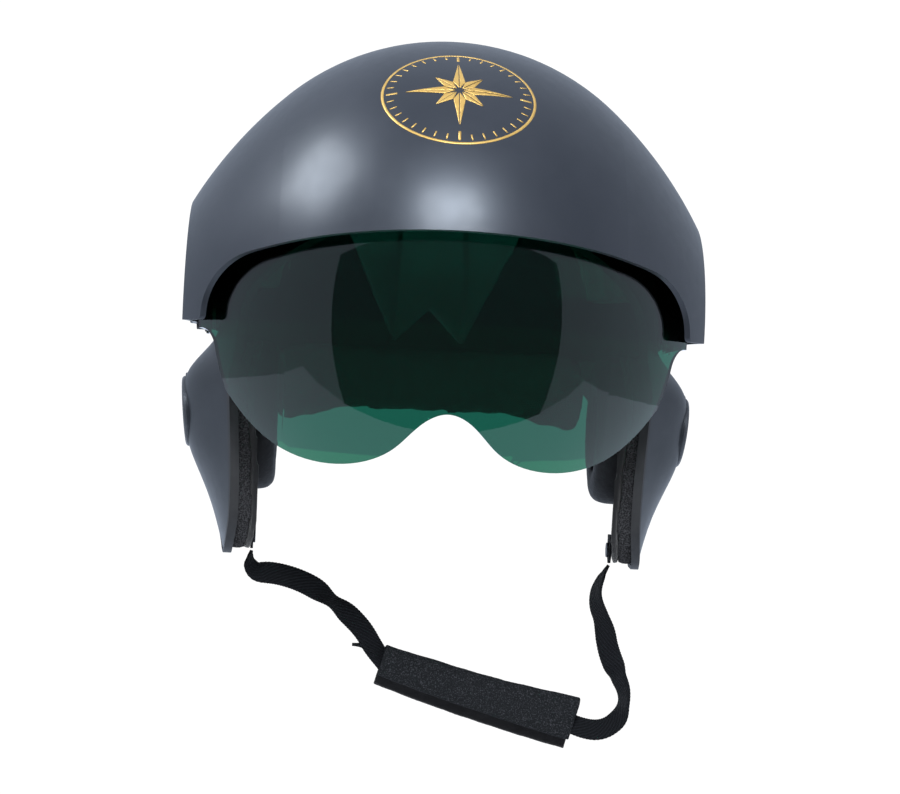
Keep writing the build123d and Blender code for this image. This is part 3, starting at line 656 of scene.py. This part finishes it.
def folded_sheet(name, path_of, sheet, rows, body_points):
    """A sheet of even thickness whose cross-section follows path_of(share), lofted along the sleeve."""
    vertices = []
    for i in range(rows):
        share = i / (rows - 1)
        centre, along, rise = sleeve_frame(share)
        path = path_of(share)
        tangents = np.gradient(path, axis=0)
        tangents /= np.linalg.norm(tangents, axis=1, keepdims=True)
        outward = np.stack([-tangents[:, 1], tangents[:, 0]], axis=1)
        ring = []
        for k in range(body_points):
            ring.append(path[k] + outward[k] * sheet / 2)
        ring.append(path[-1] + tangents[-1] * sheet * 0.35)
        for k in reversed(range(body_points)):
            ring.append(path[k] - outward[k] * sheet / 2)
        ring.append(path[0] - tangents[0] * sheet * 0.35)
        for y, h in ring:
            vertices.append(centre + Vector((0, y, 0)) + rise * h)
    count = 2 * body_points + 2
    faces = []
    for i in range(rows - 1):
        for j in range(count):
            k = (j + 1) % count
            faces.append((i * count + j, (i + 1) * count + j, (i + 1) * count + k, i * count + k))
    for row, flip in ((0, False), (rows - 1, True)):
        ends = []
        for k in range(body_points - 1):
            a, b = row * count + k, row * count + k + 1
            c, d = row * count + count - 3 - k, row * count + count - 2 - k
            ends.append((a, b, c, d))
        ends.append((row * count + body_points - 1, row * count + body_points, row * count + body_points + 1))
        ends.append((row * count, row * count + count - 2, row * count + count - 1))
        faces += [tuple(reversed(f)) if flip else f for f in ends]
    return new_piece(name, vertices, faces)


def sleeve_height(share):
    return SLEEVE_HEIGHTS[0] + (SLEEVE_HEIGHTS[1] - SLEEVE_HEIGHTS[0]) * share


def make_sleeve():
    """Folded foam sleeve round the webbing, open below and at its ends, and the backing behind it."""
    rows, side_points, top_points = SLEEVE_ROWS, SLEEVE_SIDE_POINTS, SLEEVE_TOP_POINTS
    radius = (SLEEVE_THICKNESS - SLEEVE_SHEET) / 2

    def fold(share):
        height = sleeve_height(share)
        height += SLEEVE_WAVE * math.sin(share * SLEEVE_WAVE_RATE) * share
        low, top = -height / 2 + SLEEVE_SHEET * 0.35, height / 2 - SLEEVE_SHEET / 2 - radius
        pinch = SLEEVE_PINCH * math.sin(math.pi * share)
        path = []
        for k in range(side_points):
            t = k / (side_points - 1)
            bulge = pinch * math.sin(math.pi * t)
            path.append((-radius - bulge + SLEEVE_LIP * (1 - t) ** 3, low + (top - low) * t))
        for k in range(1, top_points):
            angle = math.pi * k / top_points
            path.append((-radius * math.cos(angle), top + radius * math.sin(angle)))
        for k in range(side_points):
            t = k / (side_points - 1)
            path.append((radius, top + (low + SLEEVE_BACK_RISE - top) * t))
        return np.array(path)

    points = 2 * side_points + top_points - 1
    sleeve = folded_sheet("chin_pad_sleeve", fold, SLEEVE_SHEET, rows, points)
    sleeve = subdivided(sleeve)
    roughened(sleeve, size=9 * MM, depth=0.25 * MM, seed=3.0)
    roughened(sleeve, size=1.6 * MM, depth=0.10 * MM, seed=5.0)
    finished(sleeve, "sleeve_foam", "chin_strap", replaces=("chin_sleeve",))

    low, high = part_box("chin_sleeve_flap")
    middle = (low.y + high.y) / 2 - SLEEVE_START.y

    def hang(share):
        height = sleeve_height(share)
        wave = FLAP_WAVE * math.sin(share * FLAP_WAVE_RATE)
        path = []
        for k in range(side_points):
            t = k / (side_points - 1)
            top = height / 2 - FLAP_DROP - SLEEVE_SHEET * 0.4
            path.append((middle + wave * (1 - t) ** 2, top - (height - SLEEVE_SHEET * 0.8) * (1 - t)))
        return np.array(path)

    flap = folded_sheet("chin_pad_backing", hang, FLAP_SHEET, rows, side_points)
    flap = subdivided(flap)
    roughened(flap, size=7 * MM, depth=0.20 * MM, seed=7.0)
    roughened(flap, size=0.9 * MM, depth=0.10 * MM, seed=9.0)
    finished(flap, "sleeve_backing", "chin_strap", replaces=("chin_sleeve_flap",))


def make_flap_linings():
    """Textured foam and fabric lining inside each ear flap."""
    for side in SIDES:
        foam = remeshed("ear_flap_foam_" + side, "flap_foam_" + side, voxel=1.5 * MM)
        foam = smoothed(foam, steps=2)
        roughened(foam, size=2.2 * MM, depth=0.22 * MM, seed=1.0)
        roughened(foam, size=14 * MM, depth=0.25 * MM, seed=2.0)
        finished(foam, "grey_foam", "root", replaces=("flap_foam_" + side,))
        lining = remeshed("ear_flap_lining_" + side, "flap_liner_" + side, voxel=1.1 * MM)
        lining = smoothed(lining, steps=2)
        roughened(lining, size=18 * MM, depth=0.25 * MM, seed=4.0)
        finished(lining, "liner_fabric", "root", replaces=("flap_liner_" + side,))
        insert = remeshed("ear_cup_insert_" + side, "ear_insert_" + side, voxel=2.4 * MM)
        insert = smoothed(insert, steps=3)
        finished(insert, "liner_fabric", "root", replaces=("ear_insert_" + side,))


def make_ear_cushions():
    """Leather ring cushions, puffed by cloth under pressure."""
    for side in SIDES:
        node = "ear_pad_" + side
        cushion = remeshed("ear_cushion_" + side, node, voxel=2.4 * MM)
        cushion = smoothed(cushion, steps=3)
        cushion = puffed(cushion, pressure=4.0, cap=2.2 * MM, shrink=0.9 * MM)
        cushion = subdivided(cushion)
        keep_inside(cushion, node, proud=1.2 * MM)
        roughened(cushion, size=8 * MM, depth=0.18 * MM, seed=6.0)
        finished(cushion, "ear_leather", "root", replaces=(node,))


def keep_inside(piece, node, proud):
    """Bring back each point that stands further out of its node's solid than the amount given."""
    tree = surface_of(node)
    points = points_of(piece)
    for i, point in enumerate(points):
        place, normal, _, _ = tree.find_nearest(Vector(point))
        out = (Vector(point) - place).dot(normal)
        if out > proud:
            points[i] = place + normal * proud
    set_points(piece, points)


def make_nape_roll():
    """Soft roll along the inside of the nape edge, hanging a little below the shell."""
    tree = surface_of("main_shell")
    centre = Vector((0, NAPE_ROLL_CENTRE_Y, NAPE_ROLL_HIT_Z))
    rows, count = NAPE_ROLL_ROWS, NAPE_ROLL_POINTS
    half_depth = NAPE_ROLL_THICKNESS / 2
    vertices = []
    for i in range(rows):
        share = 2 * i / (rows - 1) - 1
        turn = share * NAPE_ROLL_ANGLE
        way = Vector((math.sin(turn), math.cos(turn), 0))
        hit = tree.ray_cast(centre, way)[0]
        reach = (hit - centre).length - half_depth - NAPE_ROLL_GAP
        end = (1 - abs(share) ** 8) ** 0.5 if abs(share) < 1 else 0.0
        side = eased(NAPE_ROLL_DROPS, abs(share))
        foot_z = NAPE_ROLL_FOOT_Z - side * MM
        middle_z = (NAPE_ROLL_TOP_Z + foot_z) / 2
        half_height = (NAPE_ROLL_TOP_Z - foot_z) / 2
        for k in range(count):
            angle = 2 * math.pi * k / count
            c, w = math.cos(angle), math.sin(angle)
            out = math.copysign(abs(c) ** 0.8, c) * half_depth * max(end, 0.02)
            up = math.copysign(abs(w) ** 0.8, w) * half_height * max(0.55 + 0.45 * end, 0.02)
            lean = NAPE_ROLL_INSET * max(0.0, -up / half_height) ** 2
            place = Vector((0, NAPE_ROLL_CENTRE_Y, middle_z + up)) + way * (reach + out - lean)
            vertices.append(place)
    faces = []
    for i in range(rows - 1):
        for k in range(count):
            n = (k + 1) % count
            faces.append((i * count + k, i * count + n, (i + 1) * count + n, (i + 1) * count + k))
    faces.append(tuple(reversed(range(count))))
    faces.append(tuple((rows - 1) * count + k for k in range(count)))
    roll = subdivided(new_piece("nape_pad_cover", vertices, faces))
    roughened(roll, size=16 * MM, depth=0.5 * MM, seed=13.0)
    finished(roll, "nape_foam", "root", replaces=("nape_pad",))


def make_fitting_pads():
    """Cloth-covered foam pads between the head and the shell."""
    for node in ("front_pad", "crown_pad", "side_pad_left", "side_pad_right"):
        pad = remeshed(node + "_cover", node, voxel=3.2 * MM)
        pad = smoothed(pad, steps=4)
        pad = puffed(pad, pressure=3.0, cap=3.0 * MM, shrink=1.4 * MM)
        pad = subdivided(pad)
        keep_inside(pad, node, proud=0.15 * MM)
        roughened(pad, size=12 * MM, depth=0.3 * MM, seed=8.0)
        finished(pad, "pad_foam", "root", replaces=(node,))
    liner = remeshed("rear_liner_cover", "rear_liner", voxel=1.3 * MM)
    liner = smoothed(liner, steps=2)
    roughened(liner, size=22 * MM, depth=0.5 * MM, seed=11.0)
    finished(liner, "liner_vinyl", "root", replaces=("rear_liner",))


def clockwise(corners, angle):
    """The corners turned clockwise about the middle."""
    return [(x * math.cos(angle) + y * math.sin(angle), -x * math.sin(angle) + y * math.cos(angle))
            for x, y in corners]


def badge_outlines():
    """Flat polygons of the round design: a ring, short ticks inside it and an eight-pointed star."""
    shapes = []
    for i in range(BADGE_RING_STEPS):
        a, b = 2 * math.pi * i / BADGE_RING_STEPS, 2 * math.pi * (i + 1) / BADGE_RING_STEPS
        inner = BADGE_R - BADGE_LINE
        shapes.append([(r * math.sin(t), r * math.cos(t))
                       for r, t in ((inner, a), (BADGE_R, a), (BADGE_R, b), (inner, b))])
    for i in range(BADGE_TICKS):
        angle = 2 * math.pi * i / BADGE_TICKS
        length, half = BADGE_SMALL_TICK if i % BADGE_MAIN_EVERY else BADGE_MAIN_TICK
        outer = BADGE_R - BADGE_LINE - BADGE_TICK_GAP
        corners = ((-half, outer - length), (-half, outer), (half, outer), (half, outer - length))
        shapes.append(clockwise(corners, angle))
    for i in range(8):
        angle = math.pi / 4 * i
        tip = BADGE_STAR_R * (1.0 if i % 2 == 0 else BADGE_STAR_SHORT_SHARE)
        waist = BADGE_STAR_R * BADGE_STAR_INNER_SHARE
        for sign in (1, -1):
            side = (waist * math.sin(sign * math.pi / 8), waist * math.cos(math.pi / 8))
            seam = sign * BADGE_STAR_GAP / 2
            slim = 1.0 if i % 2 == 1 or sign == 1 else BADGE_SLIM_SHARE
            blade = ((seam * slim, waist * 0.25), (seam * slim, tip), (side[0] * slim, side[1]))
            shapes.append(clockwise(blade, angle))
    return shapes


def make_badge():
    """Thin gold design that follows the hood's front."""
    work = bmesh.new()
    for shape in badge_outlines():
        work.faces.new([work.verts.new((x, y, 0)) for x, y in shape])
    for _ in range(BADGE_CUTS):
        long = [e for e in work.edges if e.calc_length() > BADGE_LONGEST_EDGE]
        if long:
            bmesh.ops.subdivide_edges(work, edges=long, cuts=1, use_grid_fill=True)
    bmesh.ops.triangulate(work, faces=work.faces)
    bmesh.ops.remove_doubles(work, verts=work.verts, dist=0.001 * MM)
    mesh = bpy.data.meshes.new("badge")
    work.to_mesh(mesh)
    work.free()
    piece = placed("gold_compass_badge", mesh)
    tree = surface_of("visor_hood")
    points = points_of(piece)
    for i, (u, v, _) in enumerate(points):
        x = HOOD_ARC_R * math.sin(u / HOOD_ARC_R)
        elevation = BADGE_ELEVATION + v / HOOD_CROWN_R
        outward = Vector((math.sin(u / HOOD_ARC_R), -math.cos(elevation) * math.cos(u / HOOD_ARC_R),
                          math.sin(elevation) * math.cos(u / HOOD_ARC_R)))
        reach = HOOD_CROWN_R - HOOD_ARC_R + HOOD_ARC_R * math.cos(u / HOOD_ARC_R)
        place = Vector((x, -reach * math.cos(elevation), reach * math.sin(elevation)))
        hit = tree.ray_cast(place + outward * BADGE_RAY_START, -outward)
        points[i] = (hit[0] if hit[0] is not None else place) + outward * BADGE_LIFT
    set_points(piece, points)
    solid = piece.modifiers.new("thickness", "SOLIDIFY")
    solid.thickness = BADGE_THICKNESS
    solid.offset = 1.0
    piece = baked(piece)
    finished(piece, "gold_print", "root")


def make_camera():
    data = bpy.data.cameras.new("camera")
    data.lens = CAMERA_LENS
    data.sensor_width = CAMERA_SENSOR
    data.clip_start, data.clip_end = CAMERA_CLIP
    camera = placed("camera", data)
    look = Vector((math.sin(CAMERA_YAW), math.cos(CAMERA_YAW), 0))
    turn = look.to_track_quat("-Z", "Y").to_matrix().to_4x4()
    camera.matrix_world = Matrix.Translation(CAMERA_PLACE) @ turn @ Matrix.Rotation(CAMERA_ROLL, 4, "Z")
    bpy.context.scene.camera = camera
    bpy.context.scene.view_settings.view_transform = "Standard"


def softbox(name, towards, distance, size, power):
    """Large soft lamp that faces the helmet from a direction."""
    light = bpy.data.lights.new(name, "AREA")
    light.shape = "RECTANGLE"
    light.size, light.size_y = size
    light.energy = power
    light.color = LAMP_COLOUR
    lamp = placed(name, light)
    way = Vector(towards).normalized()
    lamp.location = way * distance
    lamp.rotation_mode = "QUATERNION"
    lamp.rotation_quaternion = way.to_track_quat("Z", "Y")
    return lamp


def lit_by_rays(tree, ray_names):
    """1 for the ray kinds named, else 0."""
    path = tree.nodes.new("ShaderNodeLightPath")
    total = path.outputs[ray_names[0]]
    for name in ray_names[1:]:
        larger = tree.nodes.new("ShaderNodeMath")
        larger.operation = "MAXIMUM"
        tree.links.new(total, larger.inputs[0])
        tree.links.new(path.outputs[name], larger.inputs[1])
        total = larger.outputs["Value"]
    return total


def bare_material(name):
    """A material that has only its output node, with its node tree and that node's surface socket."""
    look = bpy.data.materials.new(name)
    look.use_nodes = True
    look.node_tree.nodes.clear()
    output = look.node_tree.nodes.new("ShaderNodeOutputMaterial")
    return look, look.node_tree, output.inputs["Surface"]


def make_stage():
    """Pale floor, white surroundings, soft lamps, and a dark card that the visor mirrors in front."""
    world = bpy.data.worlds.new("studio")
    bpy.context.scene.world = world
    world.use_nodes = True
    tree = world.node_tree
    background = tree.nodes["Background"]
    background.inputs["Color"].default_value = (1, 1, 1, 1)
    level = tree.nodes.new("ShaderNodeMapRange")
    level.inputs["To Min"].default_value = WORLD_LEVEL
    level.inputs["To Max"].default_value = BACKDROP_LEVEL
    tree.links.new(lit_by_rays(tree, ("Is Camera Ray", "Is Transmission Ray")), level.inputs["Value"])
    mirrored = tree.nodes.new("ShaderNodeMix")
    mirrored.inputs[3].default_value = ROOM_LEVEL
    glossy = lit_by_rays(tree, ("Is Glossy Ray",))
    tree.links.new(glossy, mirrored.inputs[0])
    tree.links.new(level.outputs["Result"], mirrored.inputs[2])
    tree.links.new(mirrored.outputs[0], background.inputs["Strength"])
    tint = tree.nodes.new("ShaderNodeMix")
    tint.data_type = "RGBA"
    tint.inputs[6].default_value = (1, 1, 1, 1)
    tint.inputs[7].default_value = ROOM_COLOUR
    tree.links.new(glossy, tint.inputs[0])
    tree.links.new(tint.outputs[2], background.inputs["Color"])

    floor = new_piece("floor", [(-FLOOR_HALF, -FLOOR_HALF, FLOOR_Z), (FLOOR_HALF, -FLOOR_HALF, FLOOR_Z),
                                (FLOOR_HALF, FLOOR_HALF, FLOOR_Z), (-FLOOR_HALF, FLOOR_HALF, FLOOR_Z)],
                      [(0, 1, 2, 3)])
    white, tree, surface = bare_material("floor_white")
    matt = tree.nodes.new("ShaderNodeBsdfDiffuse")
    matt.inputs["Color"].default_value = FLOOR_COLOUR
    glow = tree.nodes.new("ShaderNodeEmission")
    glow.inputs["Strength"].default_value = BACKDROP_LEVEL
    mix = tree.nodes.new("ShaderNodeMixShader")
    seen = lit_by_rays(tree, ("Is Camera Ray", "Is Glossy Ray", "Is Transmission Ray"))
    tree.links.new(seen, mix.inputs[0])
    tree.links.new(matt.outputs["BSDF"], mix.inputs[1])
    tree.links.new(glow.outputs["Emission"], mix.inputs[2])
    tree.links.new(mix.outputs["Shader"], surface)
    floor.data.materials.append(white)

    table = new_piece("table_top", [(x, y, FLOOR_Z + TABLE_LIFT) for x, y in (
        (-TABLE_HALF, TABLE_FRONT_Y), (TABLE_HALF, TABLE_FRONT_Y), (TABLE_HALF, FLOOR_HALF),
        (-TABLE_HALF, FLOOR_HALF))], [(0, 1, 2, 3)])
    corners = [(sign * half, y, z) for half, y, z in CARD_CORNERS for sign in (-1, 1)]
    card = new_piece("dark_card", corners, [(0, 1, 3, 2), (2, 3, 5, 4)])
    for piece, strength in ((table, 1.0), (card, CARD_LEVEL)):
        look, tree, surface = bare_material(piece.name + "_glow")
        glow = tree.nodes.new("ShaderNodeEmission")
        glow.inputs["Strength"].default_value = strength
        glow.inputs["Color"].default_value = ROOM_COLOUR
        tree.links.new(glow.outputs["Emission"], surface)
        piece.data.materials.append(look)
        for ray in ("camera", "diffuse", "transmission", "volume_scatter", "shadow"):
            setattr(piece, "visible_" + ray, False)
    floor.visible_glossy = False

    softbox("key_softbox", *KEY_LAMP)
    softbox("side_softbox", *SIDE_LAMP)
    softbox("fill_softbox", *FILL_LAMP).visible_glossy = False


dress_frame()
make_strap()
make_sleeve()
make_flap_linings()
make_ear_cushions()
make_fitting_pads()
make_nape_roll()
make_badge()
make_camera()
make_stage()
